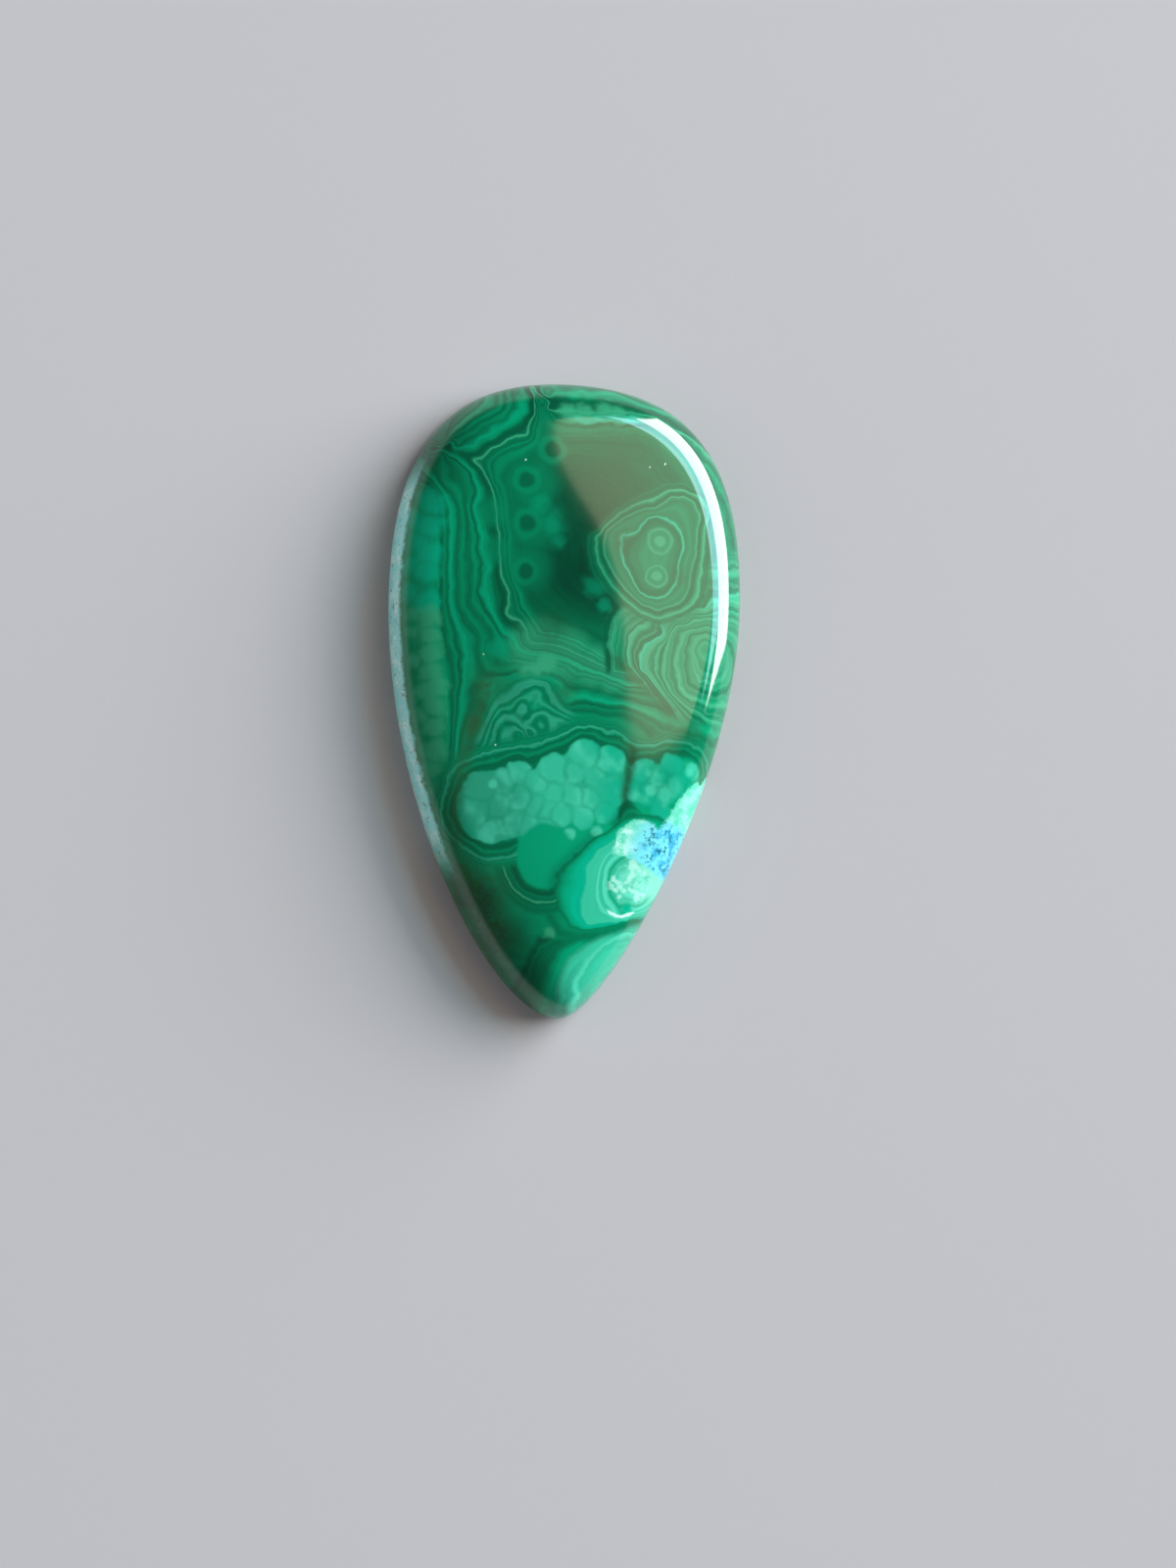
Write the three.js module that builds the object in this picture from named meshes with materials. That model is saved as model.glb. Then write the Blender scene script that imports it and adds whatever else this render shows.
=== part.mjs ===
// A polished malachite stone, cut as a long drop: one solid piece with a flat back,
// a narrow bevel round the back, a girdle at its widest line, a rounded shoulder and a low crown.
// Millimetres, +Z up. The back lies on Z = 0 and the drop's point looks along -Y.
import * as THREE from "three";

// The outline at the girdle, seen from above.
const LENGTH = 50;
const WIDTH = 28.1;
const WIDEST_Y_RIGHT = 7.5; // where each flank is widest, from the middle of the length
const WIDEST_Y_LEFT = 7.9;
const POINT_X = 0.5; // the point lies a little off the middle

// How far each end of the outline runs before it turns, as the reach of its curve.
const ROUND_END_REACH = 10.1;
const FLANK_UP_REACH = 11.5;
const FLANK_DOWN_REACH = { right: 13.8, left: 16.2 };
const POINT_REACH = { right: 3.5, left: 5.4 };

// The section, from the edge inwards.
const BACK_BEVEL = 0.7; // how far the flat back is set in from the girdle
const GIRDLE_HEIGHT = 0.9;
const SHOULDER_WIDTH = 3.3;
const SHOULDER_RISE = 3.3;
const SHOULDER_FULLNESS = 2.2; // 2 is a quarter ellipse, more is squarer
const CROWN_WIDTH = 12.5;
const CROWN_RISE = 1.5;

// How the surface is divided.
const STEPS_ROUND = 112;
const SHOULDER_RINGS = 11;
const CROWN_RINGS = 9;
const HUB = new THREE.Vector2(0, 8); // all rings close in on this point
const EDGE_SAMPLES = 360;
const EDGE_POWER = 6; // how strongly the nearest stretch of edge sets a point's inset
const EDGE_ZONE = { start: 0.5, end: 2 }; // where the plain distance gives way to the mean

function dropOutline() {
  const side = WIDTH / 2;
  const end = LENGTH / 2;
  const shape = new THREE.Shape();
  shape.moveTo(side, WIDEST_Y_RIGHT);
  shape.bezierCurveTo(
    side, WIDEST_Y_RIGHT + FLANK_UP_REACH,
    ROUND_END_REACH, end,
    0, end,
  );
  shape.bezierCurveTo(
    -ROUND_END_REACH, end,
    -side, WIDEST_Y_LEFT + FLANK_UP_REACH,
    -side, WIDEST_Y_LEFT,
  );
  shape.bezierCurveTo(
    -side, WIDEST_Y_LEFT - FLANK_DOWN_REACH.left,
    POINT_X - POINT_REACH.left, -end,
    POINT_X, -end,
  );
  shape.bezierCurveTo(
    POINT_X + POINT_REACH.right, -end,
    side, WIDEST_Y_RIGHT - FLANK_DOWN_REACH.right,
    side, WIDEST_Y_RIGHT,
  );
  return shape;
}

// About this many points round the outline, counter-clockwise, evenly spaced along each of its four
// curves, so that the curves' own ends are among them.
function pointsRound(shape, count) {
  const whole = shape.getLength();
  return shape.curves.flatMap((curve) => {
    const steps = Math.round((count * curve.getLength()) / whole);
    return curve.getSpacedPoints(steps).slice(0, steps);
  });
}

// The inset of a point from the edge. Beside the edge it is the plain distance, and further in it is
// an inverse-power mean of the distances to the whole edge, which is the same beside a straight edge
// and leaves no crease along the stone's middle line.
function insetFinder(shape) {
  const edge = pointsRound(shape, EDGE_SAMPLES);
  const step = shape.getLength() / edge.length;
  const flat = (p) => new THREE.Vector3(p.x, p.y, 0);
  const stretches = edge.map((e, i) => new THREE.Line3(flat(e), flat(edge[(i + 1) % edge.length])));
  const foot = new THREE.Vector3();
  // Along a straight edge the sum of distance^-6 is this factor times inset^-5.
  const straight = (3 * Math.PI) / 8;
  return (point) => {
    const from = flat(point);
    const ways = stretches.map((s) => s.closestPointToPoint(from, true, foot).distanceTo(from));
    const plain = Math.min(...ways);
    if (plain < EDGE_ZONE.start) return plain;
    const sum = edge.reduce((total, e) => total + e.distanceTo(point) ** -EDGE_POWER * step, 0);
    const mean = (sum / straight) ** (-1 / (EDGE_POWER - 1));
    const blend = THREE.MathUtils.smoothstep(plain, EDGE_ZONE.start, EDGE_ZONE.end);
    return THREE.MathUtils.lerp(plain, mean, blend);
  };
}

// Height of the polished top over the back, for a point this far in from the edge.
function topHeight(inset) {
  const across = Math.min(inset / SHOULDER_WIDTH, 1);
  const inward = Math.min(inset / CROWN_WIDTH, 1);
  const shoulder = (1 - (1 - across) ** SHOULDER_FULLNESS) ** (1 / SHOULDER_FULLNESS);
  const crown = 1 - (1 - inward) ** 2;
  return GIRDLE_HEIGHT + SHOULDER_RISE * shoulder + CROWN_RISE * crown;
}

// The outline moved inwards along its own normals.
function setIn(outline, distance) {
  const count = outline.length;
  return outline.map((p, i) => {
    const along = outline[(i + 1) % count].clone().sub(outline[(i + count - 1) % count]).normalize();
    return new THREE.Vector2(p.x - along.y * distance, p.y + along.x * distance);
  });
}

// Rings of the top, on rays from each edge point to the hub. Near the rim a ring keeps its inset, and
// further in it shares out the longer ways, so that every ring closes on the same point.
function topRings(outline) {
  const insets = [];
  for (let i = 1; i <= SHOULDER_RINGS; i += 1) {
    insets.push(SHOULDER_WIDTH * (i / SHOULDER_RINGS) ** 2);
  }
  const shortest = Math.min(...outline.map((p) => p.distanceTo(HUB)));
  for (let i = 1; i < CROWN_RINGS; i += 1) {
    insets.push(SHOULDER_WIDTH + (shortest - SHOULDER_WIDTH) * (i / CROWN_RINGS));
  }
  const squarely = setIn(outline, 1);
  const rays = outline.map((p, i) => {
    const way = p.distanceTo(HUB);
    const inwards = squarely[i].clone().sub(p);
    return { way, slant: way / HUB.clone().sub(p).dot(inwards) };
  });
  return insets.map((inset) =>
    outline.map((p, i) => {
      const { way, slant } = rays[i];
      const moved = inset * slant + (way - shortest * slant) * (inset / shortest) ** 3;
      return p.clone().lerp(HUB, moved / way);
    }),
  );
}

function stoneGeometry() {
  const shape = dropOutline();
  const insetAt = insetFinder(shape);
  const outline = pointsRound(shape, STEPS_ROUND);
  const around = outline.length;
  const positions = [];
  const faces = [];

  const addRing = (points, heightOf) => {
    const first = positions.length / 3;
    points.forEach((p) => positions.push(p.x, p.y, heightOf(p)));
    return first;
  };
  const addBand = (lower, upper) => {
    for (let i = 0; i < around; i += 1) {
      const next = (i + 1) % around;
      faces.push(lower + i, lower + next, upper + next);
      faces.push(lower + i, upper + next, upper + i);
    }
  };
  const addCap = (ring, point, height, upwards) => {
    const middle = addRing([point], () => height);
    for (let i = 0; i < around; i += 1) {
      const next = (i + 1) % around;
      const [from, to] = upwards ? [i, next] : [next, i];
      faces.push(ring + from, ring + to, middle);
    }
  };

  const back = addRing(setIn(outline, BACK_BEVEL), () => 0);
  addCap(back, HUB, 0, false);
  let lower = addRing(outline, () => GIRDLE_HEIGHT);
  addBand(back, lower);
  topRings(outline).forEach((ring) => {
    const upper = addRing(ring, (p) => topHeight(insetAt(p)));
    addBand(lower, upper);
    lower = upper;
  });
  addCap(lower, HUB, topHeight(insetAt(HUB)), true);

  const geometry = new THREE.BufferGeometry();
  geometry.setAttribute("position", new THREE.Float32BufferAttribute(positions, 3));
  geometry.setIndex(faces);
  geometry.computeVertexNormals();
  return geometry;
}

const malachite = new THREE.MeshStandardMaterial({ color: 0x0c8a5e, roughness: 0.12, metalness: 0 });
const stone = new THREE.Mesh(stoneGeometry(), malachite);
stone.name = "malachite_stone";

const part = new THREE.Group();
part.add(stone);

export default part;
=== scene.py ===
import math

import bpy
import numpy as np
from mathutils import Matrix, Vector


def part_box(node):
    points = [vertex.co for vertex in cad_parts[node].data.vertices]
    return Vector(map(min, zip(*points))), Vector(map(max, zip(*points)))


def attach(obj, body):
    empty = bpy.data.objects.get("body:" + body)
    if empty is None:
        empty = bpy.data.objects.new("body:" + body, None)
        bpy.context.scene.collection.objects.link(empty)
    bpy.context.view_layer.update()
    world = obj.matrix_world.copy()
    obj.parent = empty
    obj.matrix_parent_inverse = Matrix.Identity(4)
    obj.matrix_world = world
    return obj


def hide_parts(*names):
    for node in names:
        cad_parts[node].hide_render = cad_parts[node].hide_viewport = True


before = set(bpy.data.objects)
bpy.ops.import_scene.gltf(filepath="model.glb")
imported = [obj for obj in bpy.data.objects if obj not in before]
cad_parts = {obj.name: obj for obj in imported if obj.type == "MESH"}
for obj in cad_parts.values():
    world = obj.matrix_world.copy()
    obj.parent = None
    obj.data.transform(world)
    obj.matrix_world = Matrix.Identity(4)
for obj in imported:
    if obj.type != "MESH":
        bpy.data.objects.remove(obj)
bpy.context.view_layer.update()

MM = 0.001
STONE = "malachite_stone"

# The drop's outline at the girdle and its section, in millimetres, as the solid has them.
WIDEST_Y = {"right": 7.5, "left": 7.9}
POINT_X = 0.5
ROUND_END_REACH = 10.1
FLANK_UP_REACH = 11.5
FLANK_DOWN_REACH = {"right": 13.8, "left": 16.2}
POINT_REACH = {"right": 3.5, "left": 5.4}
BACK_BEVEL = 0.7
GIRDLE_HEIGHT = 0.9
SHOULDER_WIDTH = 3.3
SHOULDER_RISE = 3.3
SHOULDER_FULLNESS = 2.2
CROWN_WIDTH = 12.5
CROWN_RISE = 1.5
HUB = np.array([0.0, 8.0])

# How finely the polished surface is divided.
STEPS_ROUND = 620
SHOULDER_RINGS = 26
CROWN_RINGS = 90
BEVEL_RINGS = 5
BACK_RINGS = 32
EDGE_SAMPLES = 360

# In how many parts the points are worked through, to spare memory.
INSET_CHUNKS = 24
GUIDE_CHUNKS = 60


def millimetres(node):
    """The box of a CAD node in millimetres, as two arrays."""
    low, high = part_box(node)
    return np.array(low) / MM, np.array(high) / MM


def cubic(start, first, second, end, steps=400):
    """A cubic curve: its four points weighted by (1-t)^3, 3t(1-t)^2, 3t^2(1-t) and t^3."""
    t = np.linspace(0, 1, steps, endpoint=False)[:, None]
    points = (np.array(p, float) for p in (start, first, second, end))
    weights = ((1 - t) ** 3, 3 * t * (1 - t) ** 2, 3 * t * t * (1 - t), t**3)
    return sum(w * p for w, p in zip(weights, points))


def drop_outline(count):
    """The drop seen from above: four cubic curves, counter-clockwise from the right flank, resampled
    so that the points are evenly spaced along the edge."""
    low, high = millimetres(STONE)
    side = (high[0] - low[0]) / 2
    end = (high[1] - low[1]) / 2
    right, left = WIDEST_Y["right"], WIDEST_Y["left"]
    curves = [
        cubic((side, right), (side, right + FLANK_UP_REACH), (ROUND_END_REACH, end), (0, end)),
        cubic((0, end), (-ROUND_END_REACH, end), (-side, left + FLANK_UP_REACH), (-side, left)),
        cubic(
            (-side, left),
            (-side, left - FLANK_DOWN_REACH["left"]),
            (POINT_X - POINT_REACH["left"], -end),
            (POINT_X, -end),
        ),
        cubic(
            (POINT_X, -end),
            (POINT_X + POINT_REACH["right"], -end),
            (side, right - FLANK_DOWN_REACH["right"]),
            (side, right),
        ),
    ]
    fine = np.vstack(curves + [curves[0][:1]])
    way = np.concatenate([[0], np.cumsum(np.linalg.norm(np.diff(fine, axis=0), axis=1))])
    at = np.linspace(0, way[-1], count, endpoint=False)
    centre = (low[:2] + high[:2]) / 2
    return np.stack([np.interp(at, way, fine[:, i]) for i in (0, 1)], axis=1) + centre


def inward_normals(outline):
    """Unit normals of a counter-clockwise outline, pointing into it."""
    along = np.roll(outline, -1, axis=0) - np.roll(outline, 1, axis=0)
    along /= np.linalg.norm(along, axis=1)[:, None]
    return np.stack([-along[:, 1], along[:, 0]], axis=1)


def inset_from(edge, points, power=6, zone=(0.5, 2.0)):
    """How far points are in from the edge. Beside it this is the distance to the nearest stretch, and
    further in it is the inverse-power mean of the distances to the whole edge, which is the same beside
    a straight edge and leaves no crease along the middle. The two are blended over the zone."""
    stretch = np.roll(edge, -1, axis=0) - edge
    squared = (stretch**2).sum(axis=1)
    step = np.sqrt(squared).mean()
    straight = 3 * math.pi / 8
    result = np.empty(len(points))
    for part in np.array_split(np.arange(len(points)), INSET_CHUNKS):
        offset = points[part, None, :] - edge[None]
        share = np.clip((offset * stretch).sum(axis=2) / squared, 0, 1)
        plain = np.linalg.norm(offset - share[..., None] * stretch, axis=2).min(axis=1)
        distances = np.maximum(np.linalg.norm(offset, axis=2), 1e-3)
        mean = ((distances**-power).sum(axis=1) * step / straight) ** (-1 / (power - 1))
        blend = np.clip((plain - zone[0]) / (zone[1] - zone[0]), 0, 1)
        blend = blend * blend * (3 - 2 * blend)
        result[part] = plain + (mean - plain) * blend
    return result


def top_height(inset):
    """Height over the back: the girdle's, plus a superellipse quarter for the shoulder, plus a parabola
    for the crown."""
    across = np.clip(inset / SHOULDER_WIDTH, 0, 1)
    inward = np.clip(inset / CROWN_WIDTH, 0, 1)
    shoulder = (1 - (1 - across) ** SHOULDER_FULLNESS) ** (1 / SHOULDER_FULLNESS)
    crown = 1 - (1 - inward) ** 2
    return GIRDLE_HEIGHT + SHOULDER_RISE * shoulder + CROWN_RISE * crown


def polished_top(outline):
    """Rings of the top from just inside the girdle to the hub. Each point moves along its ray to the
    hub, by its ring's inset near the edge and by a share of the whole way further in."""
    edge = drop_outline(EDGE_SAMPLES)
    to_hub = HUB - outline
    way = np.linalg.norm(to_hub, axis=1)
    slant = way / (to_hub * inward_normals(outline)).sum(axis=1)
    shortest = way.min()
    shoulder = SHOULDER_WIDTH * (np.arange(1, SHOULDER_RINGS + 1) / SHOULDER_RINGS) ** 2
    crown = np.linspace(SHOULDER_WIDTH, shortest, CROWN_RINGS + 1)[1:-1]
    insets = np.concatenate([shoulder, crown])[:, None]
    moved = insets * slant + (way - shortest * slant) * (insets / shortest) ** 3
    flat = outline[None] + to_hub[None] * (moved / way)[..., None]
    height = top_height(inset_from(edge, flat.reshape(-1, 2))).reshape(flat.shape[:2])
    return np.concatenate([flat, height[..., None]], axis=2)


def bevel_and_girdle(outline, fullness=1.35):
    """Rings from the back's edge out to the girdle: a superellipse quarter close to a straight bevel,
    with its two corners rounded."""
    turn = np.linspace(0, math.pi / 2, BEVEL_RINGS + 1)[:, None]
    out = np.sin(turn) ** (2 / fullness)
    down = np.cos(turn) ** (2 / fullness)
    flat = outline[None] + inward_normals(outline)[None] * (BACK_BEVEL * (1 - out))[..., None]
    height = np.broadcast_to(GIRDLE_HEIGHT * (1 - down), flat.shape[:2])
    return np.concatenate([flat, height[..., None]], axis=2)


def flat_back(back_edge):
    """Rings of the flat back from near the hub out to its edge, on straight rays."""
    share = (np.arange(1, BACK_RINGS) / BACK_RINGS)[:, None, None]
    return np.array([*HUB, 0.0]) + (back_edge[None] - np.array([*HUB, 0.0])) * share


def stone_mesh():
    """The closed skin: back, bevel, girdle and polished top as one stack of rings, with a point of its
    own at each end."""
    outline = drop_outline(STEPS_ROUND)
    bevel = bevel_and_girdle(outline)
    rings = np.concatenate([flat_back(bevel[0]), bevel, polished_top(outline)])
    count, around = rings.shape[:2]
    hub_inset = inset_from(drop_outline(EDGE_SAMPLES), HUB[None])
    ends = np.array([[*HUB, 0.0], [*HUB, top_height(hub_inset)[0]]])
    points = np.vstack([rings.reshape(-1, 3), ends])
    ring = np.arange(count - 1)[:, None] * around
    here = np.arange(around)[None]
    following = (np.arange(around) + 1)[None] % around
    corners = (ring + here, ring + following, ring + around + following, ring + around + here)
    quads = np.stack([c.ravel() for c in corners], axis=1)
    first, last = len(points) - 2, len(points) - 1
    top = (count - 1) * around
    under_fan = np.stack([np.full(around, first), following[0], here[0]], axis=1)
    upper_fan = np.stack([np.full(around, last), top + here[0], top + following[0]], axis=1)
    mesh = bpy.data.meshes.new("polished_malachite")
    faces = quads.tolist() + under_fan.tolist() + upper_fan.tolist()
    mesh.from_pydata((points * MM).tolist(), [], faces)
    mesh.polygons.foreach_set("use_smooth", np.ones(len(faces), bool))
    for name, numbers in growth_fields(points).items():
        mesh.attributes.new(name, "FLOAT", "POINT").data.foreach_set("value", numbers)
    mesh.update()
    return mesh


# The colours of the polished face as they look in daylight, 0 to 255 on a screen.
SHADES = {
    "black": (0, 62, 42),
    "deep": (0, 78, 52),
    "dark": (0, 94, 62),
    "green": (0, 108, 72),
    "mid": (0, 124, 84),
    "bright": (0, 144, 102),
    "teal": (0, 158, 122),
    "line": (50, 150, 110),
    "sage": (40, 146, 114),
    "jade": (48, 172, 138),
    "mint": (78, 196, 164),
    "pale": (132, 218, 194),
    "white": (214, 248, 240),
    # A pale rind shade, partly a painted reflection of pale light on the left wall.
    "pale_rind_and_reflection": (150, 226, 222),
    "olive": (38, 86, 54),
    "cyan": (112, 214, 226),
    "sky": (40, 168, 204),
    "ink": (0, 84, 104),
}

CROWN_LEVEL = 5.2  # the height at which the pattern was read
DEPTH_SHARE = 0.35  # how much depth counts against width in the pattern

# Guide lines of the growth shells, as a shell's number and places on it, x and y in millimetres.
# The shells wrap round the lobe at the upper left and the left flank, and run off over the domes.
SHELLS = [
    (0.0, [(-14, 14), (-14.2, 8), (-13.9, 2), (-12.9, -4), (-11.3, -10), (-9.6, -14)]),
    (1.6, [(-12.6, 16.6), (-11.2, 15.4), (-10.9, 12), (-10.8, 8), (-10.4, 4), (-9.6, 1), (-9.5, -3),
           (-9.5, -8)]),
    (3.0, [(-12, 18.3), (-11.4, 17), (-10.7, 15.9), (-10.1, 15.1), (-9.7, 14.3), (-9.5, 13),
           (-9.6, 11.5), (-9.5, 7.6), (-9.3, 6.2), (-8.7, 5), (-8.1, 4.2), (-7.9, 2.9), (-7.7, 1),
           (-8.2, 0.3), (-8.4, -1.6), (-8.7, -3.2), (-8.9, -6)]),
    (4.6, [(-10.8, 18.8), (-9.8, 18.2), (-9.1, 17.7), (-8.4, 17.1), (-8, 16.3), (-7.8, 15.4),
           (-8, 14.1), (-7.6, 12.4), (-7.4, 11.3), (-6.9, 9.5), (-7, 8.6), (-7.2, 7.7), (-6.7, 6.8),
           (-6.2, 5.6), (-5.6, 4.9), (-5, 4.5), (-4.6, 3.7), (-4.3, 3.4), (-3.5, 3.1), (-2.1, 3),
           (-0.6, 2.7), (0.6, 2.2)]),
    (5.6, [(-3.6, 25), (-3.6, 23.6), (-3.65, 22), (-4, 21.2), (-4.3, 20.3), (-4.9, 20.1), (-5.9, 19.6),
           (-6.9, 19), (-7.7, 18.3), (-8.3, 18), (-7.7, 17.3), (-7.2, 16.5), (-6.7, 15.3), (-6.4, 13.3),
           (-6.1, 10.9), (-6, 9.1), (-5.8, 8.7), (-5.3, 7.7), (-5.2, 7), (-5.5, 6.2), (-5.1, 5.9),
           (-4.4, 5.6), (-3.9, 5), (-3.7, 4.3), (-3.4, 3.9), (-2.3, 3.9), (-1.4, 3.8), (-0.7, 3.5),
           (0.2, 3.2), (1.6, 2.7), (3, 2.1)]),
    (6.8, [(-3, 23), (-3, 21.4), (-3.3, 19.8), (-4.6, 18.8), (-6.2, 17.9), (-6.4, 16.6), (-5.8, 15.2),
           (-5.5, 13), (-5.2, 10.4), (-5, 8.8), (-4.3, 7.6), (-4.1, 6.8), (-3.4, 5.9), (-2.6, 5),
           (-1.2, 4.9), (0.4, 4.4), (2, 3.6), (3.2, 3.2)]),
    (9.5, [(-1, 17), (-1, 13), (-1, 9), (1.5, 7)]),
    (3.7, [(-6, 2.1), (-4.7, 2.2), (-2.4, 2.3), (-1, 2), (-0.1, 1.3)]),
    (2.6, [(-6, 0.6), (-4.6, 1.2), (-2.6, 1.2), (-1.2, 0.7), (-0.6, -0.4)]),
    (1.2, [(-3.2, -0.4)]),
    (4.6, [(-4.7, 26), (-4.3, 24.6), (-4.3, 23.6), (-4.4, 22.1), (-5.1, 21.4), (-6.1, 20.7), (-7, 20),
           (-7.9, 19.6), (-8.5, 19), (-9.4, 18.9), (-10.4, 19.3)]),
    (4.2, [(-5.9, 26), (-5.4, 24.6), (-5.2, 23.6), (-5.3, 22.4), (-6.1, 21.5), (-7.4, 20.8),
           (-8.9, 19.8)]),
    (3.0, [(-7.4, 26), (-6.7, 24.6), (-6.6, 23.6), (-6.8, 22.6), (-8.2, 21.6), (-9.6, 20.4),
           (-10.6, 19.4)]),
    (5.0, [(-9, 18.35), (-10, 18.7), (-11.2, 19.1)]),
    (6.0, [(-3.5, 22.9), (-2.8, 22.4), (-2.2, 21.9), (-1.1, 21.6), (0.3, 21.7), (3, 22), (6, 22)]),
    (5.0, [(-2.7, 23.4), (-1.7, 23.2), (-0.5, 23.1), (1, 23.1), (3, 23.3)]),
    (4.4, [(-2.6, 24.6), (-1.5, 24.3), (0, 24.3), (3, 24.2), (7, 23)]),
    (1.2, [(-8.6, 23.2), (-9.8, 22)]),
    (3.6, [(0.9, 1.3), (2.2, 1.0), (3.6, 0.5)]),
    (2.6, [(0.2, -0.1), (2, -0.3), (4, -0.5)]),
    (1.4, [(-0.2, -1.4), (2, -1.6), (4, -1.8)]),
]

# Guide lines of the nested lobes on the right, numbered outwards from their heart, and the places round
# them.
LOBES = [
    (0.0, [(10.3, 4.2)]),
    (1.0, [(9.5, 2.4), (9.2, 4.2), (9.6, 5.2), (10.5, 5.4), (11.6, 5)]),
    (2.0, [(8.4, 0.8), (7.9, 3), (8.1, 4.4), (8.4, 5.4), (9.2, 5.7), (10.4, 6), (11.6, 6)]),
    (3.0, [(7.4, 0.9), (6.6, 2.2), (6.6, 3), (6.8, 3.9), (7.3, 4.6), (7.5, 5.4), (8, 6.1), (8.8, 6.2),
           (9.4, 6.7), (10.4, 6.8), (11.4, 7)]),
    (4.0, [(7.8, -0.3), (6.4, 1.3), (5.3, 2.4), (5.1, 3.4), (5.6, 4.2), (6.4, 4.7), (7, 5.1), (7, 6),
           (7.6, 6.5), (8.3, 6.6), (8.9, 7), (9.6, 7.3), (10.3, 7.4), (10.9, 8), (11.6, 8.2)]),
    (5.0, [(5.6, 1.2), (4.3, 2.6), (4.1, 4), (4.4, 5), (5, 5.8), (5.7, 6.1), (6.1, 6.5), (6.8, 7.1),
           (7.7, 7.5), (8.1, 8.2), (8.3, 8.9), (9, 9.7), (10, 10.2)]),
    (6.0, [(3, 2.6), (2.8, 4.2), (2.9, 5.2), (3.2, 6.3), (3.9, 6.9), (5, 7), (6.4, 7.5), (7.4, 8.3),
           (7.9, 9.4), (8.9, 10.4)]),
]
LOBES_REACH = [
    (2.6, 1.9), (2.4, 4.2), (2.5, 5.6), (3.0, 6.7), (3.9, 7.3), (5.2, 7.5), (6.4, 7.9), (7.4, 8.8),
    (8, 10), (9.2, 10.6), (10.6, 10.9), (12, 11.6), (15, 13), (14.5, -1), (11.5, -1.6), (9.6, -1.3),
    (8.2, -1.1), (6.8, 0.1), (5, 1.5), (3.6, 2.5),
]

# Guide lines of the lowest lobe, numbered outwards from the right rim, and the places round it.
FOOT = [
    (0.0, [(4.6, -21), (4, -22.6)]),
    (1.0, [(3.2, -19.2), (2.4, -19.9), (1.5, -21), (1.2, -22.1), (1.2, -23.4), (1.3, -25)]),
    (2.0, [(1.8, -19.1), (0.3, -20.1), (-0.3, -21.4), (-0.5, -22.6), (-0.6, -24), (-0.6, -25)]),
    (3.0, [(0.7, -19), (-0.5, -19.8), (-1.1, -21), (-1.4, -22.3), (-1.6, -23.6), (-1.6, -25)]),
    (4.0, [(-0.8, -18.9), (-1.7, -19.4), (-2.3, -20.4), (-2.6, -21.7), (-3, -23.2)]),
    (5.0, [(-1.2, -18.2), (-2.8, -18.9), (-3.6, -20.6), (-4, -22)]),
]
FOOT_REACH = [
    (-2.2, -18.6), (-1.1, -18.55), (0, -18.75), (2, -18.65), (4, -18.1), (5.6, -17.4), (7.5, -17),
    (8, -21), (2, -27), (-4, -25), (-3.3, -21.4),
]

# Guide lines of the low domes, numbered outwards from the eye in the lowest.
DOMES = [
    (0.0, [(-4.4, -3.5)]),
    (0.6, [(-5.0, -4.0), (-5.0, -3.2), (-4.5, -2.75), (-3.9, -3.0), (-3.65, -3.7)]),
    (1.6, [(-6.3, -4.0), (-6.15, -3.0), (-5.9, -2.3), (-5.3, -1.85), (-4.7, -1.95), (-4.2, -2.35),
           (-3.75, -2.9), (-3.5, -2.2), (-3.0, -1.7), (-2.4, -1.5), (-1.9, -1.8), (-1.6, -2.3),
           (-1.2, -2.0), (-0.5, -2.1)]),
    (0.9, [(-2.5, -2.4)]),
    (1.5, [(-3.95, -1.15)]),
    (2.1, [(-4.8, -1.2), (-4.4, -0.65), (-3.9, -0.45), (-3.3, -0.7), (-3.0, -1.2)]),
    (2.8, [(-7.4, -3.9), (-6.9, -2.8), (-6.5, -1.7), (-6.0, -0.9), (-5.3, -0.3), (-4.5, 0.0),
           (-4.0, 0.7), (-3.1, 0.95), (-2.3, 0.7), (-1.8, 0.1), (-1.5, -0.6), (-0.9, -1.1)]),
    (2.2, [(-3.0, 0.1)]),
    (4.0, [(-8.6, -4.2), (-7.9, -2.8), (-7.2, -1.5), (-6.8, -0.2), (-6.2, 0.9), (-5.2, 1.5),
           (-3.6, 1.8), (-2.1, 1.5), (-1.1, 0.9), (-0.4, 0.2), (0.1, -0.6)]),
]

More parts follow.
